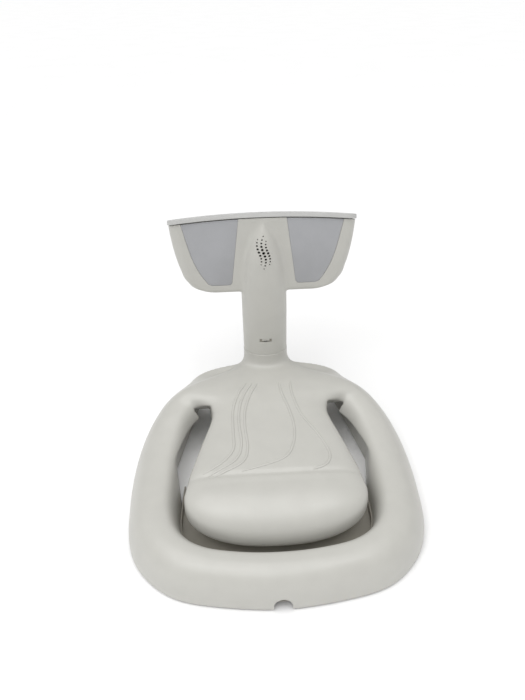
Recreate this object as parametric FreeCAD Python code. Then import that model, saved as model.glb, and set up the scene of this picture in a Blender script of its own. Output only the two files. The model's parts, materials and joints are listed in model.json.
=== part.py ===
"""Stand of an electric baby swing: ring base, column, and a head whose domed carrier sways the seat.

Millimetres, +Z up, origin on the floor at the middle of the stand's box, front towards -Y.
"""
import FreeCAD, Part
import os
from math import acos, cos, hypot, pi, radians, sin, sqrt, tan

V = FreeCAD.Vector

# ---- driving dimensions ------------------------------------------------------------------
WALL = 3.0                 # moulded wall
FLOOR_GAP = 4.0            # the mouldings stand this far off the floor, on the feet
FRONT_Y = -328.0           # foremost point of the ring
REAR_Y = 300.0             # rearmost point of the ring

COLUMN_Y = 237.0           # axis of the column
COLUMN_HALF_W = 49.5
COLUMN_HALF_D = 39.0
COLLAR_TOP = 172.0         # seam between the base and the column

FACE_Y = 221.0             # flat front of the head
HEAD_DEPTH = 100.0
PARTING_Y = 246.0          # front and rear column shells meet here

TILT = 19.0                # the swing axis leans back by this angle
APEX = V(0, 271, 483)      # top of the carrier, on the swing axis
DOME_R = 1900.0            # radius of the carrier's domed top
CARRIER_T = 9.0
CARRIER_GAP = 1.5

SWING_LIMIT = 14.0
GEAR_MODULE = 1.5
SECTOR_TEETH = 88
PINION_TEETH = 16
SHAFT_R = 7.5
BEARING_OUT_R = 16.0
BEARING_W = 9.0
POST_R = 16.0

# Stations round the right half of the ring: inner edge, outer edge, height of the crest.
RING_STATIONS = [
    ((0, -249), (0, FRONT_Y), 75),
    ((68, -245), (96, -319), 75),
    ((130, -231), (185, -297), 76),
    ((170, -200), (244, -250), 78),
    ((185, -150), (277, -189), 81),
    ((185, -92), (287, -106), 86),
    ((182, -35), (288, -25), 94),
    ((173, 18), (280, 46), 104),
    ((161, 64), (260, 113), 116),
    ((138, 100), (228, 182), 123),
    ((97, 134), (176, 243), 118),
    ((50, 160), (92, 279), 120),
    ((0, 174), (0, REAR_Y), 130),
]
RING_CREST_AT = 0.38       # place of the crest, as a share of the way from the inner to the outer edge

# The tongue, from the front of its bulb to the column: y, half width, top, bottom.
TONGUE_STATIONS = [
    (-230, 49, 71, 45),
    (-225, 82, 82, 38),
    (-215, 116, 95, 33),
    (-200, 144, 107, 31),
    (-180, 163, 115, 31),
    (-160, 170, 118, 31.5),
    (-144, 172, 119, 32),
    (-120, 168, 122, 34),
    (-95, 163, 125, 38),
    (-65, 155, 127, 44),
    (-32, 146, 130, 51),
    (3, 136, 132, 58),
    (32, 128, 134, 62),
    (56, 124, 136, 64),
    (76, 127, 138, 65),
    (90, 141, 139, 65),
    (103, 168, 140, 65),
    (118, 190, 140.5, 65),
    (137, 189, 141, 65),
    (160, 166, 141, 65),
    (182, 126, 141, 65),
    (205, 82, 142, 65),
    (225, 54, 142, 65),
]
TONGUE_POWER = 3.6         # squareness of its cross-section
TONGUE_SPLIT = 52.0        # the bulb's bottom cover is below this height

# Half width of the head at each height, bottom to top.
HEAD_STATIONS = [
    (321, 122), (329, 147), (346, 166), (376, 178), (410, 186), (450, 191.5), (510, 194.5),
]
# Column above the head's floor: height, half width, reach in front of the column's axis.
MITRE_STATIONS = [
    (340, 49.3, 39), (370, 47.5, 39), (400, 42.5, 38.5), (428, 34.5, 36),
    (452, 24, 30.5), (470, 12, 22), (480, 4.5, 15),
]


# ---- helpers ----------------------------------------------------------------------------
def smooth(points, closed=False):
    """One smooth curve through the points."""
    curve = Part.BSplineCurve()
    curve.interpolate([V(*p) for p in points], PeriodicFlag=closed)
    return curve.toShape()


def loft(wires):
    return Part.makeLoft(wires, True, False)


def box(x0, x1, y0, y1, z0, z1):
    return Part.makeBox(x1 - x0, y1 - y0, z1 - z0, V(x0, y0, z0))


def cylinder(r, z0, z1, x=0.0, y=0.0):
    return Part.makeCylinder(r, z1 - z0, V(x, y, z0))


def tube(r_out, r_in, z0, z1, x=0.0, y=0.0):
    return cylinder(r_out, z0, z1, x, y).cut(cylinder(r_in, z0 - 1, z1 + 1, x, y))


def along_y(r, y0, y1, x, z):
    """Cylinder from y0 to y1."""
    return Part.makeCylinder(r, y1 - y0, V(x, y0, z), V(0, 1, 0))


def on_axis(shape):
    """Moves a shape from the swing axis's own frame, with its origin at the apex, to its place."""
    moved = shape.copy()
    leaning = FreeCAD.Placement(APEX, FreeCAD.Rotation(V(1, 0, 0), -TILT))
    moved.Placement = leaning.multiply(shape.Placement)
    return moved


def mirrored(shape):
    return shape.mirror(V(0, 0, 0), V(1, 0, 0))


def save(name, shape):
    """Writes one node; a group of loose solids is kept as a compound."""
    solids = shape.Solids
    result = solids[0] if len(solids) == 1 else Part.makeCompound(solids)
    if not result.isValid():
        print("INVALID", name)
    result.exportStep(os.path.join("parts", name + ".step"))
    b = result.BoundBox
    print("%-24s %2d solid(s)  %9.0f mm3  x %.1f %.1f  y %.1f %.1f  z %.1f %.1f" % (
        name, len(solids), result.Volume, b.XMin, b.XMax, b.YMin, b.YMax, b.ZMin, b.ZMax))


# ---- base -------------------------------------------------------------------------------
def ring_section(inner, outer, crest, inset, bottom):
    """Upright section of the ring between two plan points: a dome with a steep inner wall."""
    width = hypot(outer[0] - inner[0], outer[1] - inner[1])
    ux, uy = (outer[0] - inner[0]) / width, (outer[1] - inner[1]) / width
    top_at = RING_CREST_AT * width
    points = []
    for start, sweep, reach, power in ((180, -90, top_at - inset, 3.0),
                                       (90, -90, width - top_at - inset, 2.3)):
        for step in range(6):
            if start == 90 and step == 0:
                continue
            a = radians(start + sweep * step / 5.0)
            side = -1 if start == 180 else 1
            u = top_at + side * reach * abs(cos(a)) ** (2 / power)
            z = FLOOR_GAP + (crest - inset - FLOOR_GAP) * abs(sin(a)) ** (2 / 2.2)
            points.append((inner[0] + ux * u, inner[1] + uy * u, z))
    first, last = V(*points[0]), V(*points[-1])
    edges = [smooth(points)]
    if bottom < FLOOR_GAP:
        low_first, low_last = V(first.x, first.y, bottom), V(last.x, last.y, bottom)
        edges += [Part.makeLine(last, low_last), Part.makeLine(low_last, low_first),
                  Part.makeLine(low_first, first)]
    else:
        edges.append(Part.makeLine(last, first))
    return Part.Wire(edges)


def ring_body(inset=0.0, bottom=FLOOR_GAP):
    """The whole ring, swept round its stations and their mirror images."""
    left = [((-i[0], i[1]), (-o[0], o[1]), c) for i, o, c in reversed(RING_STATIONS[1:-1])]
    around = RING_STATIONS + left
    start = len(RING_STATIONS) - 1
    wires = [ring_section(i, o, c, inset, bottom) for i, o, c in around[start:] + around[:start]]
    return Part.makeLoft(wires, True, False, True)


def tongue_section(y, half_w, top, bottom, inset):
    """Rounded section across the tongue."""
    middle, half_h = (top + bottom) / 2.0, (top - bottom) / 2.0 - inset
    points = []
    for step in range(20):
        a = 2 * pi * (step + 0.5) / 20
        x = (half_w - inset) * abs(cos(a)) ** (2 / TONGUE_POWER) * (1 if cos(a) > 0 else -1)
        z = half_h * abs(sin(a)) ** (2 / TONGUE_POWER) * (1 if sin(a) > 0 else -1)
        points.append((x, y, middle + z))
    return Part.Wire([smooth(points, closed=True)])


def tongue_body(inset=0.0):
    sections = []
    for number, (y, half_w, top, bottom) in enumerate(TONGUE_STATIONS):
        place = y + inset if number == 0 else y
        sections.append(tongue_section(place, half_w, top, bottom, inset))
    return loft(sections)


def ellipse(z, half_w, half_d, y=COLUMN_Y):
    """Level ellipse; its long axis lies along X."""
    if half_w >= half_d:
        curve = Part.Ellipse(V(half_w, y, z), V(0, y + half_d, z), V(0, y, z))
    else:
        curve = Part.Ellipse(V(0, y + half_d, z), V(-half_w, y, z), V(0, y, z))
    return Part.Wire([curve.toShape()])


def collar_body(inset=0.0):
    """Flared foot of the column, part of the base moulding."""
    rings = ((120, 76, 60), (146, 68, 54), (154, 58, 47), (162, 52.2, 42),
             (COLLAR_TOP, COLUMN_HALF_W + 0.4, COLUMN_HALF_D + 0.4))
    low = 120 - (20 if inset else 0)
    sections = [ellipse(low if z == 120 else z, w - inset, d - inset) for z, w, d in rings]
    body = loft(sections)
    if inset:
        body = body.fuse(loft([ellipse(z, COLUMN_HALF_W + 0.5 - inset, COLUMN_HALF_D + 0.5 - inset)
                               for z in (COLLAR_TOP - 1, COLLAR_TOP + 5)]))
    return body


def plan_face(side_points, z):
    """Flat face inside a closed outline that is given by its right half, front to back."""
    left = [(-x, y) for x, y in reversed(side_points) if x > 0]
    return Part.Face(Part.Wire([smooth([(x, y, z) for x, y in side_points + left], closed=True)]))


def ring_outline(edge, inset):
    """Right half of the ring's inner (0) or outer (1) edge, moved inwards into the ring."""
    outline = []
    for station in RING_STATIONS:
        near, far = station[edge], station[1 - edge]
        length = hypot(far[0] - near[0], far[1] - near[1])
        outline.append((near[0] + (far[0] - near[0]) * inset / length,
                        near[1] + (far[1] - near[1]) * inset / length))
    return outline


SCREW_SPOTS = [(24, -270), (176, -246), (242, -150), (244, -30), (226, 84), (203, 178), (66, 246)]
BOARD_SPOTS = [(-50, -75), (50, -75), (-50, -5), (50, -5)]


def both_sides(spots):
    return [(s * x, y) for x, y in spots for s in (1, -1) if not (x == 0 and s == -1)]


CAVE_INNER, CAVE_WALL, CAVE_TAPER = 126.0, 198.0, 0.185     # sides of the room beside the tongue
CAVE_Y, CAVE_TOP, CAVE_SLOPE = 60.0, 140.0, 0.76            # its roof slants down to the floor
LIP_Z, LIP_Y, LIP_X = 80.0, -105.0, 184.0                   # the ring overhangs the slot above this


def cave_plan(front, grow):
    """Plan of the room beside the tongue, on the right; it opens out from the ring's inner edge."""
    rear = 262.0 + grow
    wall = CAVE_WALL + grow * hypot(1, CAVE_TAPER)
    inner = CAVE_INNER - grow
    corners = [V(inner, rear, -10), V(inner, front - grow, -10)]
    if front < 20:
        corners += [V(LIP_X, front - grow, -10), V(LIP_X + grow, front - grow, -10)]
    nearest = max(front - grow, 20.0)
    for y in (nearest, rear):
        corners.append(V(wall - CAVE_TAPER * (y - CAVE_Y), y, -10))
    return Part.Face(Part.makePolygon(corners + [corners[0]]))


def roof_side(front, rear, grow, level=None):
    """Body under a roof, seen from the side: level, or slanting down towards the rear."""
    lift = grow * hypot(1, CAVE_SLOPE)
    heights = [level + grow if level else CAVE_TOP + lift - CAVE_SLOPE * (y - CAVE_Y)
               for y in (front, rear)]
    corners = [V(0, front, -10), V(0, front, heights[0]), V(0, rear, heights[1]), V(0, rear, -10),
               V(0, front, -10)]
    return Part.Face(Part.makePolygon(corners)).extrude(V(300, 0, 0))


def cave(front, grow=0.0):
    """Rooms under the rear of both slots, from the slot's end back to the rear wall."""
    room = cave_plan(front, grow).extrude(V(0, 0, 200))
    room = room.common(roof_side(front - grow, 256.0 + grow, grow))
    return [room, mirrored(room)]


def undercut(grow=0.0):
    """Rooms under the ring's overhanging lip, beside both slots."""
    room = cave_plan(LIP_Y, grow).extrude(V(0, 0, 200))
    room = room.common(roof_side(LIP_Y - grow, 150.0 + grow, grow, LIP_Z))
    return [room, mirrored(room)]


def opened_ring(inset=0.0, bottom=FLOOR_GAP):
    return ring_body(inset, bottom).cut(Part.makeCompound(cave(96.0, inset))).cut(
        Part.makeCompound(undercut(inset)))


def opened_tongue(inset=0.0):
    return tongue_body(inset).cut(Part.makeCompound(cave(CAVE_Y, inset)))


def notch():
    """Arched way out for the supply cable, low in the middle of the front wall."""
    arch = box(-16, 16, FRONT_Y - 5, FRONT_Y + 14, 0, 11)
    return arch.fuse(along_y(16, FRONT_Y - 5, FRONT_Y + 14, 0, 11))


def base_top_shell():
    outer = opened_ring().fuse([opened_tongue(), collar_body()])
    for hollow in (opened_ring(WALL, -5.0), opened_tongue(WALL), collar_body(WALL)):
        outer = outer.cut(hollow)
    under = box(-178, 178, -236, 50, -10, TONGUE_SPLIT)
    outer = outer.cut(under.common(tongue_body(-0.5)))
    outer = outer.cut(box(-58, 58, 192, 282, 0, 100)).cut(notch())
    posts = Part.makeCompound([cylinder(4.5, 7.2, 160, x, y) for x, y in both_sides(SCREW_SPOTS)])
    outer = outer.fuse(posts.common(opened_ring(WALL - 0.5, -5.0)))
    posts = Part.makeCompound([cylinder(3.5, 77.7, 150, x, y) for x, y in BOARD_SPOTS])
    outer = outer.fuse(posts.common(tongue_body(WALL - 0.5)))
    for x, y in both_sides(SCREW_SPOTS):
        outer = outer.cut(cylinder(1.95, 0, 34, x, y))
    for x, y in BOARD_SPOTS:
        outer = outer.cut(cylinder(1.25, 70, 92, x, y))
    return max(outer.Solids, key=lambda s: s.Volume)


def tongue_bottom_cover():
    """Dish that closes the bulb and the front of the tongue from below."""
    dish = tongue_body().cut(tongue_body(WALL))
    dish = dish.common(box(-180, 180, -240, 20, 0, TONGUE_SPLIT - 0.3))
    return max(dish.Solids, key=lambda s: s.Volume)


def ring_bottom_cover():
    """Flat closing plate under the ring, with holes for the screws, the feet and the post's bolts."""
    plate = opened_ring(WALL + 0.4, -5.0).common(box(-300, 300, -340, 340, FLOOR_GAP, FLOOR_GAP + 3))
    holes = [cylinder(2.2, 0, 20, x, y) for x, y in both_sides(SCREW_SPOTS)]
    holes += [cylinder(4.05, 0, 20, x, y) for x, y in FEET.values()]
    holes += [cylinder(3.05, 0, 20, x, y) for x, y in POST_BOLTS]
    plate = plate.cut(Part.makeCompound(holes))
    plate = plate.cut(box(-17, 17, FRONT_Y - 5, FRONT_Y + 15, 0, 20))
    return max(plate.Solids, key=lambda s: s.Volume)


def floor_tray():
    """Dark pan in the front of the ring, under the bulb, with a low lip along the ring's wall."""
    rear = -50.0
    base = plan_face(ring_outline(0, 2.0), 5.0).extrude(V(0, 0, 2.5))
    lip = plan_face(ring_outline(0, 2.0), 5.0).extrude(V(0, 0, 16))
    lip = lip.cut(plan_face(ring_outline(0, -3.0), 4.0).extrude(V(0, 0, 20)))
    tray = base.fuse(lip).common(box(-210, 210, -270, rear, 0, 40))
    tray = tray.cut(ring_body(-0.5, -5.0))
    for x in (-120, 0, 120):
        tray = tray.cut(box(x - 22, x + 22, -150, -142, 0, 20))
    return max(tray.Solids, key=lambda s: s.Volume)


def base_screws():
    screws = []
    for x, y in both_sides(SCREW_SPOTS):
        screws.append(cylinder(3.4, 2.2, FLOOR_GAP, x, y).fuse(cylinder(1.9, 3.5, 22, x, y)))
    return Part.makeCompound(screws)


FEET = {"front_left": (-208, -236), "front_right": (208, -236), "rear_left": (-220, 128),
        "rear_right": (220, 128), "rear_centre": (0, 283)}


def rubber_foot(x, y):
    pad = cylinder(13, 0, FLOOR_GAP, x, y).fuse(cylinder(4, FLOOR_GAP, 6.9, x, y))
    return pad.makeFillet(1.0, [e for e in pad.Edges if e.BoundBox.ZMax < 0.1])


def ballast(side):
    """Cast weight that lies in the front corner of the ring."""
    block = Part.makeBox(96, 40, 20, V(-48, -20, 0))
    upright = [e for e in block.Edges if abs(e.BoundBox.ZLength - 20) < 0.1]
    block = block.makeFillet(8, upright)
    block.Placement = FreeCAD.Placement(V(side * 98, -280, 7.2),
                                        FreeCAD.Rotation(V(0, 0, 1), side * 11))
    return block


def dc_jack():
    """Barrel socket that faces the arch in the front wall."""
    y0 = FRONT_Y + 21
    body = box(-8, 8, y0, y0 + 18, 7.2, 21)
    return body.cut(along_y(3.2, y0 - 1, y0 + 12, 0, 14)).fuse(along_y(1.0, y0 + 1, y0 + 15, 0, 14))


def main_board():
    board = box(-55, 55, -80, 0, 76, 77.6)
    parts = [box(-40, -18, -60, -38, 77.6, 80), box(5, 25, -62, -50, 77.6, 82),
             cylinder(6, 77.6, 93, -35, -18), cylinder(6, 77.6, 93, -18, -18),
             box(10, 30, -28, -18, 77.6, 85), box(36, 50, -50, -30, 77.6, 86)]
    board = board.fuse(parts)
    for x, y in BOARD_SPOTS:
        board = board.cut(cylinder(1.8, 70, 90, x, y))
    return board


def board_screws():
    return Part.makeCompound([cylinder(3, 73.8, 75.9, x, y).fuse(cylinder(1.2, 75, 90, x, y))
                              for x, y in BOARD_SPOTS])


def post_bracket():
    """Steel foot that holds the post, bolted down to the ring's bottom cover."""
    plate = box(-48, 48, 200, 282, 7.2, 12.2)
    foot = plate.fuse(cylinder(21, 12, 78, 0, COLUMN_Y))
    for turn in (0, 90, 180, 270):
        rib = box(20, 34, -2, 2, 12, 40)
        rib.rotate(V(0, 0, 0), V(0, 0, 1), turn)
        rib.translate(V(0, COLUMN_Y, 0))
        foot = foot.fuse(rib)
    foot = foot.cut(cylinder(POST_R + 0.1, 12, 80, 0, COLUMN_Y))
    for x, y in POST_BOLTS:
        foot = foot.cut(cylinder(3.3, 0, 30, x, y))
    return foot


POST_BOLTS = [(-39, 210), (39, 210), (-39, 272), (39, 272)]


def post_bolts():
    return Part.makeCompound([cylinder(5.5, 12.3, 16.3, x, y).fuse(cylinder(3.0, 4.2, 13, x, y))
                              for x, y in POST_BOLTS])


# ---- column and head --------------------------------------------------------------------
def column_post():
    return tube(POST_R, POST_R - 2, 12.3, 352, 0, COLUMN_Y)


def head_section(z, half_w, inset):
    """Level rounded rectangle, with small front and large rear corners."""
    w, y0, y1 = half_w - inset, FACE_Y + inset, FACE_Y + HEAD_DEPTH - inset
    rf, rr = 22.0 - inset, 40.0 - inset
    k = sqrt(0.5)
    corners = [
        (V(w - rf, y0, z), V(w - rf + rf * k, y0 + rf - rf * k, z), V(w, y0 + rf, z)),
        (V(w, y1 - rr, z), V(w - rr + rr * k, y1 - rr + rr * k, z), V(w - rr, y1, z)),
        (V(-w + rr, y1, z), V(-w + rr - rr * k, y1 - rr + rr * k, z), V(-w, y1 - rr, z)),
        (V(-w, y0 + rf, z), V(-w + rf - rf * k, y0 + rf - rf * k, z), V(-w + rf, y0, z)),
    ]
    edges = []
    for number, (a, m, b) in enumerate(corners):
        edges.append(Part.Arc(a, m, b).toShape())
        edges.append(Part.makeLine(b, corners[(number + 1) % 4][0]))
    return Part.Wire(edges)


def head_body(inset=0.0):
    sections = []
    for number, (z, half_w) in enumerate(HEAD_STATIONS):
        sections.append(head_section(z + inset if number == 0 else z, half_w, inset))
    return loft(sections)


def column_body(inset=0.0):
    """Straight neck, then the pointed arch that dies into the head's face, as one solid."""
    low = COLLAR_TOP + 0.4 - (10 if inset else 0)
    neck = [(z, COLUMN_HALF_W, COLUMN_HALF_D) for z in (low, 200, 240, 275, 306)]
    arch = MITRE_STATIONS[:-1] if inset else MITRE_STATIONS
    sections = []
    for z, w, d in neck + arch:
        tip = inset and z > 460
        sections.append(ellipse(z - 4 if tip else z, w - inset - (1 if tip else 0), d - inset))
    return loft(sections)


def dome_above(depth):
    """Everything above a sphere that is this far under the carrier's top."""
    ball = Part.makeSphere(DOME_R - depth)
    ball.translate(V(0, 0, -DOME_R))
    slab = box(-260, 260, -200, 200, -120, 120)
    return on_axis(slab.cut(ball))


def speaker_holes():
    """Three wavy columns of round holes, widest in the middle."""
    holes = []
    for column, count, pitch, drift in ((-1, 9, 6.5, 1.4), (0, 11, 6.8, 0.0), (1, 9, 6.2, -0.7)):
        for n in range(count):
            share = 2.0 * n / (count - 1) - 1
            z = (n - (count - 1) / 2.0) * pitch + drift
            x = 9.0 * column - 4.4 * sin(pi * z / 34.0)
            r = 1.25 + (1.9 if column == 0 else 1.5) * (1 - abs(share)) ** 0.9
            holes.append((x, SPEAKER_Z + z, r))
    return holes


def column_shell():
    """Hollow of the neck and head, before it is parted into front and rear."""
    outer = head_body().fuse(column_body())
    shell = outer.cut(column_body(WALL)).cut(head_body(WALL))
    return shell.cut(dome_above(CARRIER_T + CARRIER_GAP))


PANEL_OUTLINE = [(48, 498), (68.5, 345), (73, 340.5), (111, 340.5), (119, 344), (136, 372),
                 (151, 412), (169, 494)]
PANEL_T = 2.0


def panel_prism(side, y0, y1, grow=0.0):
    """Grey inlay outline: straight inner edge, curved outer edge, rounded low corners."""
    cx, cz = 108, 420
    pts = []
    for x, z in PANEL_OUTLINE:
        d = hypot(x - cx, z - cz)
        pts.append(V(side * (x + (x - cx) / d * grow), y0, z + (z - cz) / d * grow))
    edges = [Part.makeLine(pts[0], pts[1])]
    for a, b in zip(pts[1:4], pts[2:5]):
        edges.append(Part.makeLine(a, b))
    curve = Part.BSplineCurve()
    curve.interpolate(pts[4:])
    edges += [curve.toShape(), Part.makeLine(pts[-1], pts[0])]
    return Part.Face(Part.Wire(edges)).extrude(V(0, y1 - y0, 0))


USB_Z, USB_HALF_W, USB_HALF_H = 210.0, 13.3, 4.2
PORT_DROP = 2.1                        # the socket sits this far below the slot's middle
BUTTON_Z, BUTTON_R = 262.0, 9.0


def column_front_shell(shell):
    front = shell.common(box(-260, 260, 100, PARTING_Y - 0.15, 100, 560))
    for side in (-1, 1):
        front = front.cut(panel_prism(side, FACE_Y - 1, FACE_Y + PANEL_T + 0.1, 0.4))
    for x, z, r in speaker_holes():
        front = front.cut(along_y(r, 190, 215, x, z))
    front = front.cut(box(-USB_HALF_W, USB_HALF_W, 190, 216, USB_Z - USB_HALF_H, USB_Z + USB_HALF_H))
    for x, z in COLUMN_SCREWS:
        head = z > 325
        within = head_body(WALL - 0.5) if head else column_body(WALL - 0.5)
        boss = along_y(5.0, FACE_Y + WALL - 0.5 if head else 190, WELL[head] - 0.3, x, z)
        front = front.fuse(boss.common(within)).cut(along_y(1.85, WELL[head] - 30, WELL[head], x, z))
    return max(front.Solids, key=lambda s: s.Volume)


def column_rear_shell(shell):
    rear = shell.common(box(-260, 260, PARTING_Y + 0.15, 400, 100, 560))
    rear = rear.cut(along_y(BUTTON_R + 0.4, 265, 285, 0, BUTTON_Z))
    for x, z in COLUMN_SCREWS:
        head = z > 325
        within = head_body(0.5) if head else column_body(0.5)
        rear = rear.fuse(along_y(6.5, WELL[head], 330, x, z).common(within))
        rear = rear.cut(along_y(4.2, WELL[head] + 3, 330, x, z))
        rear = rear.cut(along_y(2.2, 240, 330, x, z))
    return max(rear.Solids, key=lambda s: s.Volume)


COLUMN_SCREWS = [(-30, 190), (30, 190), (-30, 300), (30, 300), (-150, 375), (150, 375),
                 (-60, 350), (60, 350)]
WELL = {True: 300.0, False: 251.0}     # where the rear shell's screw wells begin: head, neck


def column_screws():
    """Screws that draw the rear shell to the front one."""
    screws = []
    for x, z in COLUMN_SCREWS:
        seat = WELL[z > 325] + 3.0
        screws.append(along_y(3.6, seat, seat + 2.6, x, z).fuse(along_y(1.8, seat - 24, seat + 1, x, z)))
    return Part.makeCompound(screws)


def inlay_panel(side):
    panel = panel_prism(side, FACE_Y + 0.3, FACE_Y + PANEL_T)
    return panel.cut(dome_above(CARRIER_T + CARRIER_GAP + 0.6))


def rounded_bar(half_w, half_h, y0, y1, z):
    """Bar along Y with half-round ends."""
    bar = box(half_h - half_w, half_w - half_h, y0, y1, z - half_h, z + half_h)
    return bar.fuse([along_y(half_h, y0, y1, s * (half_w - half_h), z) for s in (-1, 1)])


def usb_bezel():
    """Dark plate at the bottom of the slot, with the socket's mouth low in its middle."""
    y0 = COLUMN_Y - COLUMN_HALF_D + 3.2
    plate = box(-USB_HALF_W + 0.2, USB_HALF_W - 0.2, y0, y0 + 4, USB_Z - 4.0, USB_Z + 4.0)
    return plate.cut(rounded_bar(4.7, 1.75, y0 - 1, y0 + 8, USB_Z - PORT_DROP))


def port_hood():
    """Light lip in the upper half of the slot that shades the socket."""
    y0 = COLUMN_Y - COLUMN_HALF_D + 0.7
    return box(-8.3, 8.3, y0, y0 + 2.4, USB_Z - 0.2, USB_Z + 4.1)


def usb_socket():
    """Plated shell with its contact tongue."""
    y0 = COLUMN_Y - COLUMN_HALF_D + 3.4
    z = USB_Z - PORT_DROP
    can = rounded_bar(4.6, 1.65, y0, y0 + 9, z).cut(rounded_bar(4.3, 1.35, y0 - 1, y0 + 8, z))
    return can.fuse(box(-3.4, 3.4, y0 + 1, y0 + 8.5, z - 0.35, z + 0.35))


def usb_board():
    y0 = COLUMN_Y - COLUMN_HALF_D + 7.4
    z = USB_Z - PORT_DROP - 1.75
    return box(-13, 13, y0, y0 + 9, z - 1.6, z)


def power_button():
    y = COLUMN_Y + COLUMN_HALF_D
    cap = along_y(BUTTON_R, y - 6, y + 1.5, 0, BUTTON_Z)
    cap = cap.makeFillet(1.2, [e for e in cap.Edges if e.BoundBox.YMin > y + 1.4])
    return cap.fuse(along_y(2.5, y - 12, y - 5.9, 0, BUTTON_Z)).fuse(
        along_y(BUTTON_R + 2, y - 7.2, y - 5.2, 0, BUTTON_Z))


def button_switch():
    y = COLUMN_Y + COLUMN_HALF_D
    switch = box(-5, 5, y - 18.5, y - 14, BUTTON_Z - 5, BUTTON_Z + 5)
    switch = switch.fuse(box(-16, 16, y - 20, y - 18.4, BUTTON_Z - 14, BUTTON_Z + 14))
    for x in (-13, 13):
        for z in (-10, 10):
            switch = switch.fuse(along_y(2, y - 19, y - 5.5, x, BUTTON_Z + z))
    return switch


SPEAKER_Z, SPEAKER_Y = 420.0, 208.5


def speaker_driver():
    """Basket and magnet of the small loudspeaker behind the grille."""
    z, y0 = SPEAKER_Z, SPEAKER_Y
    basket = along_y(16, y0, y0 + 1.5, 0, z).fuse(along_y(13.5, y0 + 1.5, y0 + 6, 0, z))
    basket = basket.cut(along_y(12, y0 - 1, y0 + 4.5, 0, z))
    return basket.fuse(along_y(9, y0 + 6, y0 + 11, 0, z))


def speaker_cone():
    z, y0 = SPEAKER_Z, SPEAKER_Y + 0.4
    rim = Part.makeCone(11.8, 5.0, 3.4, V(0, y0, z), V(0, 1, 0))
    hollow = Part.makeCone(11.2, 4.4, 3.4, V(0, y0 - 0.5, z), V(0, 1, 0))
    dome = Part.makeSphere(4.6, V(0, y0 + 4.0, z))
    dome = dome.common(box(-6, 6, y0 + 0.6, y0 + 3.4, z - 6, z + 6))
    return rim.cut(hollow).fuse(dome)


def speaker_gasket():
    """Foam ring between the speaker and the back of the arch."""
    ring = along_y(15.5, 200, SPEAKER_Y - 0.05, 0, SPEAKER_Z).cut(along_y(12.5, 199, 220, 0, SPEAKER_Z))
    return max(ring.common(column_body(WALL + 0.1)).Solids, key=lambda s: s.Volume)


# ---- swing mechanism, in the swing axis's own frame ----------------------------------------
PLATE_TOP = -32.0
PINION_X = -GEAR_MODULE * (SECTOR_TEETH + PINION_TEETH) / 2.0
RIM_HALF_D = 51.0


def carrier_outline(grow, z):
    """Outline of the carrier: the head's rim, seen along the swing axis."""
    w, d, rf, rr = 194.0 + grow, RIM_HALF_D + grow, 22.0, 38.0
    k = sqrt(0.5)
    corners = [
        (V(w - rf, -d, z), V(w - rf + rf * k, -d + rf - rf * k, z), V(w, -d + rf, z)),
        (V(w, d - rr, z), V(w - rr + rr * k, d - rr + rr * k, z), V(w - rr, d, z)),
        (V(-w + rr, d, z), V(-w + rr - rr * k, d - rr + rr * k, z), V(-w, d - rr, z)),
        (V(-w, -d + rf, z), V(-w + rf - rf * k, -d + rf - rf * k, z), V(-w + rf, -d, z)),
    ]
    edges = []
    for number, (a, m, b) in enumerate(corners):
        edges.append(Part.Arc(a, m, b).toShape())
        edges.append(Part.makeLine(b, corners[(number + 1) % 4][0]))
    return Part.Face(Part.Wire(edges))


SEAT_BOLTS_PCD = 64.0
FLANGE_PCD = 38.0


def seat_carrier():
    """Domed plate that the seat bolts to; it sways on the head."""
    plate = carrier_outline(0.5, -60).extrude(V(0, 0, 80))
    top_ball = Part.makeSphere(DOME_R, V(0, 0, -DOME_R))
    low_ball = Part.makeSphere(DOME_R - CARRIER_T, V(0, 0, -DOME_R))
    plate = plate.common(top_ball).cut(low_ball)
    plate = plate.fuse(cylinder(40, -16, -5))
    for turn in (45, 135, 225, 315):
        x, y = SEAT_BOLTS_PCD / 2 * cos(radians(turn)), SEAT_BOLTS_PCD / 2 * sin(radians(turn))
        plate = plate.cut(cylinder(4.2, -20, 5, x, y))
    for turn in (0, 90, 180, 270):
        x, y = FLANGE_PCD / 2 * cos(radians(turn)), FLANGE_PCD / 2 * sin(radians(turn))
        plate = plate.cut(cylinder(2.7, -20, 5, x, y)).cut(cylinder(5, -6, 5, x, y))
    return on_axis(plate)


def seat_inserts():
    """Threaded brass inserts for the seat's bolts."""
    inserts = []
    for turn in (45, 135, 225, 315):
        x, y = SEAT_BOLTS_PCD / 2 * cos(radians(turn)), SEAT_BOLTS_PCD / 2 * sin(radians(turn))
        inserts.append(tube(4.2, 3.0, -15, -2.0, x, y))
    return on_axis(Part.makeCompound(inserts))


def carrier_bolts():
    bolts = []
    for turn in (0, 90, 180, 270):
        x, y = FLANGE_PCD / 2 * cos(radians(turn)), FLANGE_PCD / 2 * sin(radians(turn))
        bolts.append(cylinder(4.4, -6.0, -2.5, x, y).fuse(cylinder(2.4, -21.5, -5.5, x, y)))
    return on_axis(Part.makeCompound(bolts))


def swing_shaft():
    shaft = cylinder(SHAFT_R, -91.9, -17).fuse(cylinder(27, -22, -16.05))
    for turn in (0, 90, 180, 270):
        x, y = FLANGE_PCD / 2 * cos(radians(turn)), FLANGE_PCD / 2 * sin(radians(turn))
        shaft = shaft.cut(cylinder(2.5, -30, -10, x, y))
    groove = tube(10, SHAFT_R - 0.8, -90.9, -89.7)
    return on_axis(shaft.cut(groove))


def circlip():
    ring = tube(10.5, SHAFT_R - 0.7, -90.8, -89.8)
    return on_axis(ring.cut(box(-2.5, 2.5, -12, 0, -95, -85)))


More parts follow.
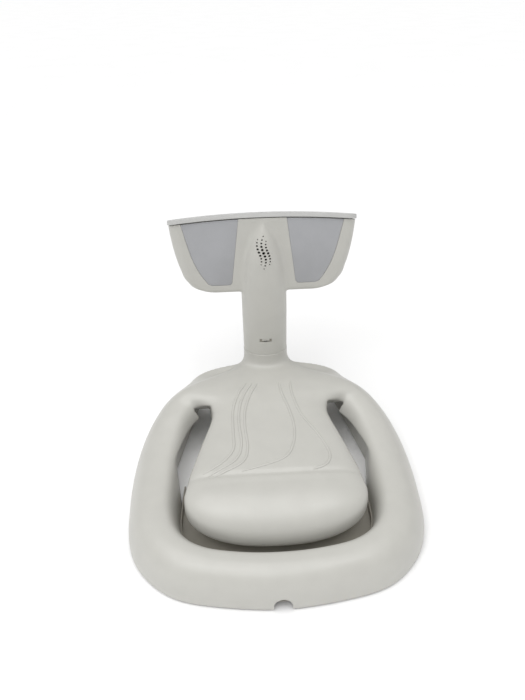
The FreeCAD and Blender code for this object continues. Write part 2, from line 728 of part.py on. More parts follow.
def gear_profile(teeth, first, count, backlash=0.28):
    """Points round part of a gear: root, flank, tip, flank for each tooth, with involute flanks."""
    pitch = GEAR_MODULE * teeth / 2.0
    base, tip, root = pitch * cos(radians(20)), pitch + GEAR_MODULE, pitch - 1.25 * GEAR_MODULE
    half = pi / (2 * teeth) - backlash / (2 * pitch)
    start = max(base, root + 0.05)

    def spread(r):
        a = acos(min(1.0, base / r))
        return tan(a) - a

    def flank(r):
        return half + spread(pitch) - spread(r)
    points = []
    for n in range(first, first + count):
        mid = 2 * pi * n / teeth
        radii = [start, (start + pitch) / 2.0, pitch, (pitch + tip) / 2.0, tip]
        points.append((root, mid - flank(start)))
        points += [(r, mid - flank(r)) for r in radii]
        points += [(r, mid + flank(r)) for r in reversed(radii)]
        points.append((root, mid + flank(start)))
    return [V(r * cos(a), r * sin(a), 0) for r, a in points]


def sector_gear():
    """Toothed sector on the shaft's flange, reaching to the pinion on the left."""
    count = 9
    teeth = gear_profile(SECTOR_TEETH, -(count // 2), count)
    inner = 52.0
    a0, a1 = teeth[0], teeth[-1]
    back = [a1 * (inner / a1.Length), a0 * (inner / a0.Length)]
    rim = Part.Face(Part.makePolygon(teeth + back + [teeth[0]])).extrude(V(0, 0, 7))
    web = Part.Face(Part.makePolygon([V(0, -20, 0), V(inner + 4, -22, 0), V(inner + 4, 22, 0),
                                      V(0, 20, 0), V(0, -20, 0)])).extrude(V(0, 0, 7))
    gear = rim.fuse([web, cylinder(25, 0, 7)])
    gear = gear.cut(cylinder(SHAFT_R + 0.02, -1, 9))
    gear = gear.cut(cylinder(9, -1, 9, 38, 0))
    gear.rotate(V(0, 0, 0), V(0, 0, 1), 180)
    gear.translate(V(0, 0, -29.05))
    return on_axis(gear)


def pinion():
    profile = gear_profile(PINION_TEETH, 0, PINION_TEETH)
    wheel = Part.Face(Part.makePolygon(profile + [profile[0]])).extrude(V(0, 0, 9))
    wheel.rotate(V(0, 0, 0), V(0, 0, 1), 180.0 / PINION_TEETH)
    wheel = wheel.fuse(cylinder(6, -2, 0)).cut(cylinder(3.05, -5, 12))
    wheel.translate(V(PINION_X, 0, -30))
    return on_axis(wheel)


def motor_shaft():
    return on_axis(cylinder(3.0, -34.5, -21.5, PINION_X, 0))


def mechanism_plate():
    """Steel deck inside the head that carries the bearing block and the motor."""
    w, front, rear, r = 160, -35, 42, 14
    plate = Part.makeBox(2 * w, rear - front, 3, V(-w, front, PLATE_TOP - 3))
    plate = plate.makeFillet(r, [e for e in plate.Edges if abs(e.BoundBox.ZLength - 3) < 0.01])
    plate = plate.cut(cylinder(BEARING_OUT_R + 2, PLATE_TOP - 5, 0))
    plate = plate.cut(cylinder(8, PLATE_TOP - 5, 0, PINION_X, 0))
    for x, y in BLOCK_BOLTS:
        plate = plate.cut(cylinder(2.6, PLATE_TOP - 6, 0, x, y))
    for x in (60, 110, 140):
        plate = plate.cut(cylinder(9, PLATE_TOP - 6, 0, x, 0))
    return on_axis(plate)


BLOCK_BOLTS = [(23, 15), (-23, 15), (23, -15), (-23, -15)]


def bearing_block():
    """Cast housing for the two bearings, under the plate."""
    body = cylinder(23, -92, PLATE_TOP - 3.05).fuse(
        box(-31, 31, -22, 22, PLATE_TOP - 9, PLATE_TOP - 3.05))
    body = body.cut(cylinder(BEARING_OUT_R, -86, 0)).cut(cylinder(12, -100, -80))
    for x, y in BLOCK_BOLTS:
        body = body.cut(cylinder(2.1, PLATE_TOP - 20, 0, x, y))
    return on_axis(body)


def block_bolts():
    bolts = [cylinder(4.2, PLATE_TOP + 0.05, PLATE_TOP + 2.6, x, y).fuse(
        cylinder(2.05, PLATE_TOP - 8.5, PLATE_TOP + 1, x, y)) for x, y in BLOCK_BOLTS]
    return on_axis(Part.makeCompound(bolts))


BEARINGS = {"upper": -45.5, "lower": -85.5}


def bearing_outer(z):
    ring = tube(BEARING_OUT_R - 0.02, 13.0, z, z + BEARING_W)
    return on_axis(ring.cut(Part.makeTorus(11.75, 2.55, V(0, 0, z + BEARING_W / 2))))


def bearing_inner(z):
    ring = tube(10.5, SHAFT_R + 0.02, z, z + BEARING_W)
    return on_axis(ring.cut(Part.makeTorus(11.75, 2.55, V(0, 0, z + BEARING_W / 2))))


def shaft_spacers():
    """Sleeves that set the bearings apart and fill the way down to the retaining ring."""
    low, high = BEARINGS["lower"], BEARINGS["upper"]
    sleeves = [tube(10, SHAFT_R + 0.02, low + BEARING_W + 0.05, high - 0.05),
               tube(10, SHAFT_R + 0.02, -89.75, low - 0.05)]
    return on_axis(Part.makeCompound(sleeves))


def bearing_balls(z):
    balls = []
    for n in range(9):
        a = 2 * pi * n / 9
        balls.append(Part.makeSphere(2.4, V(11.75 * cos(a), 11.75 * sin(a), z + BEARING_W / 2)))
    return on_axis(Part.makeCompound(balls))


def gear_box():
    body = cylinder(18.5, -57, PLATE_TOP - 3.05, PINION_X, 0)
    body = body.fuse(cylinder(6, PLATE_TOP - 4, PLATE_TOP - 1, PINION_X, 0))
    return on_axis(body.cut(cylinder(3.05, -40, 0, PINION_X, 0)))


def drive_motor():
    can = cylinder(14, -93, -57.05, PINION_X, 0)
    can = can.fuse(cylinder(4, -96, -92, PINION_X, 0))
    for y in (-6, 6):
        can = can.fuse(box(PINION_X - 1.5, PINION_X + 1.5, y - 0.4, y + 0.4, -98, -92.5))
    return on_axis(can)


def drive_board():
    """Motor driver and swing sensor board in the right wing."""
    board = box(62, 132, -24, 24, -50, -48.4)
    board = board.fuse([box(72, 88, -12, 4, -48.4, -46), box(98, 108, -16, -4, -48.4, -42),
                        box(112, 126, 2, 16, -48.4, -40)])
    return on_axis(board)


def drive_board_pillars():
    pillars = [cylinder(3, -48.35, PLATE_TOP - 3.05, x, y) for x in (66, 128) for y in (-20, 20)]
    return on_axis(Part.makeCompound(pillars))


def post_head():
    """Casting on top of the post; its slanted land carries the bearing block."""
    cast = cylinder(23, 318, 420, 0, COLUMN_Y)
    cast = cast.cut(cylinder(POST_R + 0.1, 300, 352.2, 0, COLUMN_Y))
    slant = on_axis(box(-80, 80, -80, 80, -92.05, 60))
    return cast.cut(slant)


def main():
    os.makedirs("parts", exist_ok=True)
    for old in os.listdir("parts"):
        if old.endswith(".step"):
            os.remove(os.path.join("parts", old))
    save("base_top_shell", base_top_shell())
    save("tongue_bottom_cover", tongue_bottom_cover())
    save("ring_bottom_cover", ring_bottom_cover())
    save("floor_tray", floor_tray())
    save("base_screws", base_screws())
    for name, (x, y) in FEET.items():
        save("foot_" + name, rubber_foot(x, y))
    save("ballast_left", ballast(-1))
    save("ballast_right", ballast(1))
    save("dc_jack", dc_jack())
    save("main_board", main_board())
    save("board_screws", board_screws())
    save("post_bracket", post_bracket())
    save("post_bolts", post_bolts())
    save("column_post", column_post())
    save("post_head", post_head())
    shell = column_shell()
    save("column_front_shell", column_front_shell(shell))
    save("column_rear_shell", column_rear_shell(shell))
    save("column_screws", column_screws())
    save("left_panel", inlay_panel(-1))
    save("right_panel", inlay_panel(1))
    save("usb_bezel", usb_bezel())
    save("port_hood", port_hood())
    save("usb_socket", usb_socket())
    save("usb_board", usb_board())
    save("power_button", power_button())
    save("button_switch", button_switch())
    save("speaker_driver", speaker_driver())
    save("speaker_cone", speaker_cone())
    save("speaker_gasket", speaker_gasket())
    save("mechanism_plate", mechanism_plate())
    save("bearing_block", bearing_block())
    save("block_bolts", block_bolts())
    for name, z in BEARINGS.items():
        save(name + "_bearing_outer", bearing_outer(z))
        save(name + "_bearing_inner", bearing_inner(z))
        save(name + "_bearing_balls", bearing_balls(z))
    save("gear_box", gear_box())
    save("drive_motor", drive_motor())
    save("motor_shaft", motor_shaft())
    save("pinion", pinion())
    save("sector_gear", sector_gear())
    save("swing_shaft", swing_shaft())
    save("circlip", circlip())
    save("shaft_spacers", shaft_spacers())
    save("seat_carrier", seat_carrier())
    save("seat_inserts", seat_inserts())
    save("carrier_bolts", carrier_bolts())
    save("drive_board", drive_board())
    save("drive_board_pillars", drive_board_pillars())


main()
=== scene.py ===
# %% [markdown]
# A baby swing's stand, as a lesson. It is a hollow plastic ring with a tongue inside it, an oval
# column, and a wide head whose domed cap sways to carry a seat. First the engineering model is
# loaded, so that everything made here lands in the same place and at the same size.

# %% Load the frame
import bpy
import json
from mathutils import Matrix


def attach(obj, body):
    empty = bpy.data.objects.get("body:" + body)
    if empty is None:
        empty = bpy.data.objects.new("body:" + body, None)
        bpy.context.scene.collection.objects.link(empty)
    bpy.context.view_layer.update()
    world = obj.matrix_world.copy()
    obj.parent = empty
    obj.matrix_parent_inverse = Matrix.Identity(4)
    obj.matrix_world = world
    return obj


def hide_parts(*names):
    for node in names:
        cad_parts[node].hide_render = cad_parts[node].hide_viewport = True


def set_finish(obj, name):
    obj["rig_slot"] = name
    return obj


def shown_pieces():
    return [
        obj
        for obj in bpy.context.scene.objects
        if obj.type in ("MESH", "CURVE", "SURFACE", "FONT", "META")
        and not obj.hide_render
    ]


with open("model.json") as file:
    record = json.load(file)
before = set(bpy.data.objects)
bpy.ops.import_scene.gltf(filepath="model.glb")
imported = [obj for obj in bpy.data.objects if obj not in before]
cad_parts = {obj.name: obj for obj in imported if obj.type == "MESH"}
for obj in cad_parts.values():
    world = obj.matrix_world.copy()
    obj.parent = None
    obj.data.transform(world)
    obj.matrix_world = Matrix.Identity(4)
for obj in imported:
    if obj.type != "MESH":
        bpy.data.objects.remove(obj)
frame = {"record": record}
bpy.context.view_layer.update()

import json
from math import cos, pi, radians, sin, sqrt

import bmesh
import numpy as np
import openvdb
from mathutils import Matrix, Vector
from mathutils.bvhtree import BVHTree

MM = 0.001
scene = bpy.context.scene

# %% [markdown]
# ## Helpers for smooth tables and outlines
# The real shells were drawn with smooth curves. A table of a few sizes along one direction, with a
# smooth curve through them, says the same thing in the fewest numbers.

# %% Smooth curves through a few numbers
def through(x, xs, ys):
    """Smooth curve through the points (xs, ys), level outside them."""
    xs, ys = np.asarray(xs, float), np.asarray(ys, float)
    slope = np.gradient(ys, xs)
    x = np.clip(x, xs[0], xs[-1])
    i = np.clip(np.searchsorted(xs, x) - 1, 0, len(xs) - 2)
    h = xs[i + 1] - xs[i]
    t = (x - xs[i]) / h
    return ((1 + 2 * t) * (1 - t) ** 2 * ys[i] + t * (1 - t) ** 2 * h * slope[i]
            + t * t * (3 - 2 * t) * ys[i + 1] + t * t * (t - 1) * h * slope[i + 1])


def closed_curve(points, steps=12):
    """Closed smooth outline through the points."""
    p = np.asarray(points, float)
    before, after, far = np.roll(p, 1, 0), np.roll(p, -1, 0), np.roll(p, -2, 0)
    rows = []
    for s in range(steps):
        t = s / steps
        rows.append(0.5 * (2 * p + (after - before) * t + (2 * before - 5 * p + 4 * after - far) * t * t
                           + (3 * p - before - 3 * after + far) * t ** 3))
    return np.stack(rows, 1).reshape(-1, 2)


def distance_inside(outline, x, y):
    """Distance from each point of a plan grid to the outline, positive inside it."""
    a, b = outline, np.roll(outline, -1, 0)
    best = np.full(x.shape, 1e18)
    inside = np.zeros(x.shape, bool)
    for (ax, ay), (bx, by) in zip(a, b):
        dx, dy = bx - ax, by - ay
        t = np.clip(((x - ax) * dx + (y - ay) * dy) / (dx * dx + dy * dy), 0, 1)
        best = np.minimum(best, (x - ax - t * dx) ** 2 + (y - ay - t * dy) ** 2)
        crosses = (ay > y) != (by > y)
        if abs(dy) > 1e-12:
            inside ^= crosses & (x < ax + (y - ay) * dx / dy)
    return np.where(inside, 1, -1) * np.sqrt(best)


# %% [markdown]
# ## Shells from fields
# A flowing shell has no flat faces to start from. It could be pushed and pulled from a box with
# subdivision, but then every blend is shaped by hand. Here each simple body is a field instead:
# a number at every point of a grid, negative inside the body and about its distance from the
# surface. Two fields join with a smooth minimum, which gives a fillet of any wanted size, and a mesh
# is then laid on the surface where the field is zero.

# %% Fields and the mesh on them
def grid(lo, hi, step):
    axes = [np.arange(a, b + step / 2, step) for a, b in zip(lo, hi)]
    return np.meshgrid(*axes, indexing="ij", sparse=True)


def as_distance(g, step, limit=40.0):
    """Scales a field so that it grows by about one per millimetre near its surface."""
    gx, gy, gz = np.gradient(g, step)
    size = np.sqrt(gx * gx + gy * gy + gz * gz)
    return np.clip(g / np.maximum(size, 2e-3), -limit, limit)


def join(a, b, radius):
    """Smooth minimum: both bodies, with a fillet of about this radius where they meet."""
    h = np.clip(0.5 + 0.5 * (b - a) / radius, 0, 1)
    return b * (1 - h) + a * h - radius * h * (1 - h)


def trim(a, b, radius):
    """Smooth maximum: what both fields hold, with a rounded edge."""
    return -join(-a, -b, radius)


def mesh_from_field(name, field, lo, step):
    """A piece on the zero surface of the field, in metres, smooth shaded."""
    vdb = openvdb.FloatGrid()
    vdb.background = float(field.max())
    vdb.copyFromArray(np.ascontiguousarray(field, dtype=np.float32))
    points, triangles, quads = vdb.convertToPolygons(isovalue=0.0, adaptivity=0.0)
    points = (points * step + np.asarray(lo)) * MM
    mesh = bpy.data.meshes.new(name)
    mesh.from_pydata(points.tolist(), [], triangles[:, ::-1].tolist() + quads[:, ::-1].tolist())
    mesh.validate()
    piece = bpy.data.objects.new(name, mesh)
    scene.collection.objects.link(piece)
    bm = bmesh.new()
    bm.from_mesh(mesh)
    bmesh.ops.recalc_face_normals(bm, faces=bm.faces)
    for f in bm.faces:
        f.smooth = True
    bm.to_mesh(mesh)
    bm.free()
    print(name, "faces:", len(mesh.polygons))
    return piece


# %% [markdown]
# ## Cutting tools
# Moulded shells are open below and have holes for screws, ports and buttons. The cuts are made with
# booleans and plane cuts, as a mould maker would mill them, because they must be crisp.

# %% Cutting helpers
def use(piece, modifier):
    """Applies one modifier for good."""
    with bpy.context.temp_override(object=piece, active_object=piece, selected_objects=[piece]):
        bpy.ops.object.modifier_apply(modifier=modifier.name)


def boolean(piece, tool, operation="DIFFERENCE", keep=False):
    m = piece.modifiers.new("cut", "BOOLEAN")
    m.operation, m.solver, m.object = operation, "EXACT", tool
    use(piece, m)
    if not keep:
        bpy.data.objects.remove(tool)


def cut_plane(piece, point, normal, fill=False):
    """Removes what lies on the normal's side of a plane; the place is in millimetres."""
    bm = bmesh.new()
    bm.from_mesh(piece.data)
    whole = bm.verts[:] + bm.edges[:] + bm.faces[:]
    made = bmesh.ops.bisect_plane(bm, geom=whole, plane_co=Vector(point) * MM,
                                  plane_no=Vector(normal), clear_outer=True, dist=1e-7)
    if fill:
        edges = [e for e in made["geom_cut"] if isinstance(e, bmesh.types.BMEdge)]
        bmesh.ops.holes_fill(bm, edges=edges, sides=0)
    bm.to_mesh(piece.data)
    bm.free()


def thicken(piece, wall):
    """Gives an open skin its moulded wall, inwards."""
    m = piece.modifiers.new("wall", "SOLIDIFY")
    m.thickness, m.offset, m.use_even_offset = wall * MM, -1.0, False
    use(piece, m)


def new_piece(name, bm, smooth=False):
    mesh = bpy.data.meshes.new(name)
    for f in bm.faces:
        f.smooth = smooth
    bm.to_mesh(mesh)
    bm.free()
    piece = bpy.data.objects.new(name, mesh)
    scene.collection.objects.link(piece)
    return piece


def block(name, x0, x1, y0, y1, z0, z1):
    bm = bmesh.new()
    bmesh.ops.create_cube(bm, size=1.0)
    for v in bm.verts:
        v.co = Vector((x0 + (v.co.x + 0.5) * (x1 - x0), y0 + (v.co.y + 0.5) * (y1 - y0),
                       z0 + (v.co.z + 0.5) * (z1 - z0))) * MM
    return new_piece(name, bm)


def rod(name, radius, start, end, sides=48):
    """Cylinder between two points in millimetres."""
    bm = bmesh.new()
    a, b = Vector(start) * MM, Vector(end) * MM
    bmesh.ops.create_cone(bm, cap_ends=True, segments=sides, radius1=radius * MM,
                          radius2=radius * MM, depth=(b - a).length)
    turn = Vector((0, 0, 1)).rotation_difference(b - a).to_matrix().to_4x4()
    bm.transform(Matrix.Translation((a + b) / 2) @ turn)
    return new_piece(name, bm)


def prism(name, outline, y0, y1):
    """Upright outline in X and Z, pushed along Y; all in millimetres."""
    bm = bmesh.new()
    front = [bm.verts.new(Vector((x, y0, z)) * MM) for x, z in outline]
    back = [bm.verts.new(Vector((x, y1, z)) * MM) for x, z in outline]
    bm.faces.new(front)
    bm.faces.new(back[::-1])
    for i in range(len(outline)):
        j = (i + 1) % len(outline)
        bm.faces.new((front[j], front[i], back[i], back[j]))
    bmesh.ops.recalc_face_normals(bm, faces=bm.faces)
    return new_piece(name, bm)


def round_edges(piece, width, angle=35, segments=3):
    m = piece.modifiers.new("soft edge", "BEVEL")
    m.width, m.segments, m.limit_method, m.angle_limit = width * MM, segments, "ANGLE", radians(angle)
    m.harden_normals = False
    use(piece, m)
    piece.data.shade_smooth()
    piece.data.set_sharp_from_angle(angle=radians(50))


# %% [markdown]
# ## The ring
# The base is one thick ring, a rounded triangle in plan. It is low in front and climbs to the rear
# shoulders. The two outlines give its width, and the crest table gives its height.

# %% Ring outlines and field
WALL = 3.0
FLOOR_GAP = 4.0
INNER_EDGE = [(0, -249), (68, -245), (130, -231), (170, -200), (185, -150), (185, -92), (182, -35),
              (173, 18), (161, 64), (138, 100), (97, 134), (50, 160), (0, 174)]
OUTER_EDGE = [(0, -328), (96, -319), (185, -297), (244, -250), (277, -189), (287, -106),
              (288, -25), (280, 46), (260, 113), (228, 182), (176, 243), (92, 279), (0, 300)]
CREST = [75, 75, 76, 78, 81, 86, 94, 104, 116, 123, 118, 120, 130]
CREST_AT = 0.38
STEP = 3.0
LOW, HIGH = (-297, -333, -6), (297, 321, 180)


def both_halves(points):
    return points + [(-x, y) for x, y in reversed(points[1:-1])]


def soften(values, times):
    """Blurs a plan table, which takes the crease out of the ring's middle line."""
    for turn in range(times):
        for axis in (0, 1):
            values = (np.roll(values, 1, axis) + 2 * values + np.roll(values, -1, axis)) / 4
    return values


def ring_field(x, y, z):
    px, py = np.broadcast_arrays(x[:, :, 0], y[:, :, 0])
    inner = -distance_inside(closed_curve(both_halves(INNER_EDGE)), px, py)
    outer = distance_inside(closed_curve(both_halves(OUTER_EDGE)), px, py)
    width = np.maximum(inner + outer, 20)
    crest_y = [i[1] + CREST_AT * (o[1] - i[1]) for i, o in zip(INNER_EDGE, OUTER_EDGE)]
    crest = through(py, crest_y, CREST)
    near = inner < CREST_AT * width
    across = np.where(near, inner / (CREST_AT * width) - 1, 1 - outer / ((1 - CREST_AT) * width))
    across = soften(across, 14)
    power = np.where(across < 0, 3.0, 2.3)
    up = np.maximum(z - FLOOR_GAP, 0) / (crest - FLOOR_GAP)[:, :, None]
    return (np.abs(across) ** power)[:, :, None] + up ** 2.2 - 1


# %% [markdown]
# ## The tongue and its bulb
# Inside the ring a deck slopes down from the column and ends in a fat bulb. Its section is a squarish
# oval everywhere, so three tables along its length describe it. A fine dip crosses it where the deck
# ends and the bulb begins.

# %% Tongue field
TONGUE = [  # y, half width, top, bottom
    (-144, 172, 119, 32), (-120, 168, 122, 34), (-95, 163, 125, 38), (-65, 155, 127, 44),
    (-32, 146, 130, 51), (3, 136, 132, 58), (32, 128, 134, 62), (56, 124, 136, 64),
    (76, 127, 138, 65), (90, 141, 139, 65), (103, 168, 140, 65), (118, 190, 140.5, 65),
    (137, 189, 141, 65),
    (160, 166, 141, 65), (182, 126, 141, 65), (205, 82, 142, 65), (225, 54, 142, 65)]
NOSE_Y, NOSE_LENGTH = -144.0, 87.0


def tongue_field(x, y, z):
    t = np.array(TONGUE)
    nose = np.maximum((NOSE_Y - y) / NOSE_LENGTH, 0)
    along = np.minimum(nose, 1)
    half, top, low = (through(y, t[:, 0], t[:, k]) for k in (1, 2, 3))
    crease = -123 + 4.5 * (x / 160) ** 2
    top = top - 2.6 * np.exp(-((y - crease) / 5.0) ** 2) + 0 * x
    middle, tall = (top + low) / 2, (top - low) / 2
    middle = middle - 18.5 * along ** 2
    power = 3.6 - 1.2 * along
    plan = (np.abs(x / half) ** 2.35 + nose ** 2.35) ** (1 / 2.35)
    beyond = np.maximum(y - 225, 0) / 40
    front = plan ** power + np.abs((z - middle) / tall) ** power - 1
    deck = np.abs(x / half) ** 3.6 + np.abs((z - middle) / tall) ** 3.6 - 1
    share = np.clip((y + 150) / 40, 0, 1)
    return front * (1 - share) + deck * share + 4 * beyond


# %% [markdown]
# ## The base shell
# Ring, tongue and the column's foot are one moulding. The fillet between them is wide at the rear,
# where they flow together, and almost nothing where the slots keep them apart.

# %% Base shell
COLUMN_Y, COLUMN_W, COLUMN_D = 237.0, 49.5, 39.0
COLLAR_TOP = 172.0
CAVE_INNER, CAVE_WALL, CAVE_TAPER = 126.0, 198.0, 0.185
CAVE_Y, CAVE_TOP, CAVE_SLOPE = 60.0, 140.0, 0.76
LIP_Z, LIP_Y, LIP_X = 80.0, -105.0, 184.0


def cave_plan(x, y, front):
    """Plan of the room beside the tongue, behind a front edge."""
    wall = CAVE_WALL - CAVE_TAPER * (y - CAVE_Y)
    wall = np.minimum(wall, LIP_X + (y - LIP_Y) * 0.17)
    return np.maximum(np.maximum(CAVE_INNER - np.abs(x), np.abs(x) - wall), front - y)


def base_field(x, y, z, step):
    roof = (z - (CAVE_TOP - CAVE_SLOPE * (y - CAVE_Y))) * 0.8
    cave = trim(cave_plan(x, y, CAVE_Y) + 0 * z, roof + 0 * x, 3.0)
    under = trim(cave_plan(x, y, LIP_Y) + 0 * z, z - LIP_Z + 0 * x + 0 * y, 5.0)
    behind = trim(cave_plan(x, y, 96.0) + 0 * z, roof + 0 * x, 5.0)
    ring = as_distance(ring_field(x, y, z), step)
    ring = trim(ring, -np.minimum(under, behind), 4.0)
    tongue = trim(as_distance(tongue_field(x, y, z), step), -cave, 4.0)
    body = join(ring, tongue, through(y, (40, 90, 130), (1.5, 10.0, 24.0)) + 0 * x)
    foot = (np.sqrt((x / (COLUMN_W + 0.5)) ** 2 + ((y - COLUMN_Y) / (COLUMN_D + 0.5)) ** 2) - 1) * 40
    foot = np.maximum(foot + 0 * z, 100 - z)
    return join(body, foot, 17.0)


axes = grid(LOW, HIGH, STEP)
field = base_field(*axes, STEP)
base = mesh_from_field("base_shell", field, LOW, STEP)
cut_plane(base, (0, 0, FLOOR_GAP), (0, 0, -1))
cut_plane(base, (0, 0, COLLAR_TOP), (0, 0, 1))
thicken(base, WALL)

# %% [markdown]
# ## Relief lines on the deck
# A few low ridges flow down the deck from the column to the crease. They are about a millimetre
# high, too fine for the field's grid, so each is a thin bead half sunk into the finished surface.
# A ray from above finds the height at every point of its path.

# %% Relief lines
RELIEF = [
    [(-36, 134), (-54, 96), (-64, 56), (-66, 10), (-62, -50), (-76, -90), (-130, -122)],
    [(-48, 136), (-66, 100), (-78, 50), (-78, -10), (-78, -60), (-100, -92), (-136, -114)],
    [(-24, 132), (-40, 96), (-52, 50), (-54, 0), (-50, -60), (-64, -98), (-124, -126)],
    [(24, 132), (28, 96), (40, 44), (46, -10), (38, -60), (14, -92), (-62, -117)],
    [(50, 136), (50, 94), (64, 30), (90, -24), (108, -76), (100, -106), (72, -119)],
]
BEAD = 1.25


def smooth_path(points, steps=14):
    p = np.vstack([points[0], points, points[-1]]).astype(float)
    rows = []
    for i in range(1, len(p) - 2):
        for s in range(steps):
            t = s / steps
            rows.append(0.5 * (2 * p[i] + (p[i + 1] - p[i - 1]) * t
                               + (2 * p[i - 1] - 5 * p[i] + 4 * p[i + 1] - p[i + 2]) * t * t
                               + (3 * p[i] - p[i - 1] - 3 * p[i + 1] + p[i + 2]) * t ** 3))
    return np.array(rows + [p[-2]])


def bead_on(piece, paths, radius):
    """Thin tapered beads along plan paths, laid on the piece from above, as one mesh."""
    bm = bmesh.new()
    bm.from_mesh(piece.data)
    tree = BVHTree.FromBMesh(bm)
    bm.free()
    out = bmesh.new()
    for path in paths:
        plan = smooth_path(path)
        spots = []
        for x, y in plan:
            hit = tree.ray_cast(Vector((x, y, 400)) * MM, Vector((0, 0, -1)))
            spots.append((hit[0], hit[1]))
        rings = []
        for i, (place, up) in enumerate(spots):
            ahead = (spots[min(i + 1, len(spots) - 1)][0] - spots[max(i - 1, 0)][0]).normalized()
            side = ahead.cross(up).normalized()
            taper = sqrt(min(1, 0.05 + 12 * min(i, len(spots) - 1 - i) / len(spots)))
            ring = []
            for n in range(8):
                a = 2 * pi * n / 8
                ring.append(out.verts.new(place + side * cos(a) * 2.2 * radius * taper * MM
                                          + up * sin(a) * radius * taper * MM))
            rings.append(ring)
        for a, b in zip(rings, rings[1:]):
            for n in range(8):
                out.faces.new((a[n], a[(n + 1) % 8], b[(n + 1) % 8], b[n]))
        out.faces.new(rings[0][::-1])
        out.faces.new(rings[-1])
    bmesh.ops.recalc_face_normals(out, faces=out.faces)
    return new_piece("relief", out, smooth=True)


def merge(piece, *others):
    """Puts other meshes into the piece."""
    bm = bmesh.new()
    bm.from_mesh(piece.data)
    for other in others:
        bm.from_mesh(other.data)
        bpy.data.objects.remove(other)
    bm.to_mesh(piece.data)
    bm.free()


relief = bead_on(base, RELIEF, BEAD)
print("relief faces:", len(relief.data.polygons))

# %% [markdown]
# ## Opening the base
# The supply cable leaves through a small arch at the bottom of the front wall. On the real base the
# bulb is closed from below by a dish of its own; here that dish and the engineering model's top shell
# are hidden, and this shell is shown in their place.

# %% Arch and underside
ARCH_R, ARCH_Z = 16, 11
ARCH_FRONT, ARCH_REAR = -335, -305
boolean(base, rod("arch", ARCH_R, (0, ARCH_FRONT, ARCH_Z), (0, ARCH_REAR, ARCH_Z)))
boolean(base, block("arch foot", -ARCH_R, ARCH_R, ARCH_FRONT, ARCH_REAR, -4, ARCH_Z))
merge(base, relief)
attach(base, "stand")
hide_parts("base_top_shell", "tongue_bottom_cover")
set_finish(base, "moulded_white")

# %% [markdown]
# ## The column and the head
# The column is an oval tube that runs up the front of the head and ends there in a pointed arch. The
# head is a boat shape, wide at the rim. Again two fields and a small fillet, then a wall.

# %% Column and head shells
HEAD = [  # height, half width
    (315, 92), (321, 122), (329, 147), (346, 166), (376, 178), (410, 186),
    (450, 191.5), (510, 194.5)]
COLUMN = [  # height, half width, half depth
    (150, 49.5, 39), (200, 49.5, 39), (310, 49.5, 39), (345, 49, 39), (372, 47, 39),
    (400, 42.5, 38.5), (428, 34.5, 36), (452, 24, 30.5), (470, 12, 22), (480, 4.5, 15),
    (484, 2, 12)]
HEAD_FLOOR, RIM_Z = 321, 510
FACE_Y, HEAD_DEPTH = 221.0, 100.0
FINE = 2.0


def head_field(x, y, z):
    h = np.array(HEAD)
    half = through(z, h[:, 0], h[:, 1])
    mid = FACE_Y + HEAD_DEPTH / 2
    corner = np.where(y < mid, 22.0, 40.0) + 0 * x
    qx = np.abs(x) - (half - corner)
    qy = np.abs(y - mid) - (HEAD_DEPTH / 2 - corner)
    plan = np.hypot(np.maximum(qx, 0), np.maximum(qy, 0)) + np.minimum(np.maximum(qx, qy), 0) - corner
    return trim(plan, (HEAD_FLOOR - z) + 0 * plan, 9.0)


def column_field(x, y, z):
    c = np.array(COLUMN)
    w, d = through(z, c[:, 0], c[:, 1]), through(z, c[:, 0], c[:, 2])
    g = np.sqrt((x / w) ** 2 + ((y - COLUMN_Y) / d) ** 2) - 1
    return np.maximum(as_distance(g, FINE), z - COLUMN[-1][0])


low = (-206, 192, 150)
axes = grid(low, (206, 327, 524), FINE)
field = join(head_field(*axes), column_field(*axes), 7.0)
shell = mesh_from_field("column_shell", field, low, FINE)
cut_plane(shell, (0, 0, RIM_Z), (0, 0, 1))
cut_plane(shell, (0, 0, COLLAR_TOP + 0.4), (0, 0, -1))
thicken(shell, WALL)

# %% [markdown]
# ## The domed rim
# The cap sways about an axis that leans back, so its underside and the rim of the head are parts of
# spheres about that axis. Anything round about the axis keeps the same gap while it turns.

# %% Swing axis and dome cut
TILT = radians(19)
APEX = Vector((0, 271, 483))
DOME_R = 1900.0
CARRIER_T, CARRIER_GAP = 9.0, 1.5
LEAN = Matrix.Translation(APEX * MM) @ Matrix.Rotation(-TILT, 4, "X")


def leaning(piece):
    """Moves a piece made about the origin onto the swing axis."""
    piece.data.transform(LEAN)
    return piece


def dome(name, depth, reach=(250, 110), above=70.0, below=None):
    """Body between two domed faces, or from a domed face up to a flat top."""
    bm = bmesh.new()
    nx, ny = 100, 40

    def skin(radius, flat=None):
        rows = []
        for i in range(nx + 1):
            x = reach[0] * (2 * i / nx - 1)
            row = []
            for j in range(ny + 1):
                y = reach[1] * (2 * j / ny - 1)
                z = flat if flat is not None else sqrt(radius ** 2 - x * x - y * y) - DOME_R
                row.append(bm.verts.new(Vector((x, y, z)) * MM))
            rows.append(row)
        for i in range(nx):
            for j in range(ny):
                bm.faces.new((rows[i][j], rows[i + 1][j], rows[i + 1][j + 1], rows[i][j + 1]))
        return rows

    a = skin(DOME_R - depth)
    b = skin(DOME_R - below) if below is not None else skin(0, above)
    rim = [(i, 0) for i in range(nx)] + [(nx, j) for j in range(ny)]
    rim += [(i, ny) for i in range(nx, 0, -1)] + [(0, j) for j in range(ny, 0, -1)]
    for (i, j), (k, l) in zip(rim, rim[1:] + rim[:1]):
        bm.faces.new((a[i][j], a[k][l], b[k][l], b[i][j]))
    bmesh.ops.recalc_face_normals(bm, faces=bm.faces)
    return leaning(new_piece(name, bm))


boolean(shell, dome("dome", CARRIER_T + CARRIER_GAP))
print("shell after the dome cut:", len(shell.data.polygons))

# %% [markdown]
# ## Panels, grille, port and button
# The two inlays sit in shallow pockets. The grille is three wavy columns of drilled holes, widest in
# the middle. The port is a narrow slot on the column, and the power button is at the back.

